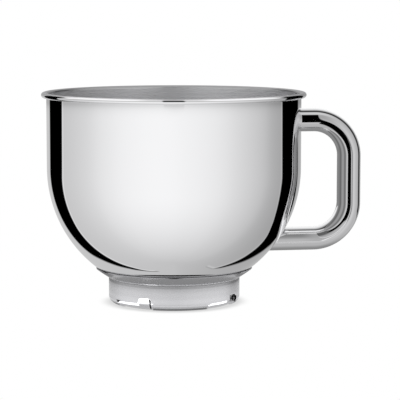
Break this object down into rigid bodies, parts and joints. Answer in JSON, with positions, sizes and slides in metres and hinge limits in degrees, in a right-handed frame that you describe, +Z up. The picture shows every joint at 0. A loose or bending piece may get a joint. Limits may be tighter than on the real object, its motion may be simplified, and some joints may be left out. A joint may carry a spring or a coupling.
{
  "type": "stand mixer bowl",
  "caption": "Polished round-bottomed mixing bowl with a curled rim, a D-shaped tube handle and a pressed base ring with twist-lock recesses.",
  "frame": {"origin": "middle of the object's footprint on the bench, under the middle of its whole length; the bowl's own axis is 25.85 mm from it towards -X", "axes": "+Z up along the bowl's axis, +X from the bowl towards its handle, +Y away from the front; the picture looks from 8.5 degrees beside the front, on the side away from the handle"},
  "size_m": [0.2827, 0.2308, 0.185],
  "materials": {
    "bowl_steel": "stainless sheet, mirror polished outside, satin inside",
    "handle_steel": "stainless tube, mirror polished",
    "base_steel": "pressed stainless sheet, fine satin"
  },
  "bodies": {
    "root": {"bowl_shell": "bowl_steel", "handle": "handle_steel", "base_ring": "base_steel"}
  },
  "joints": []
}
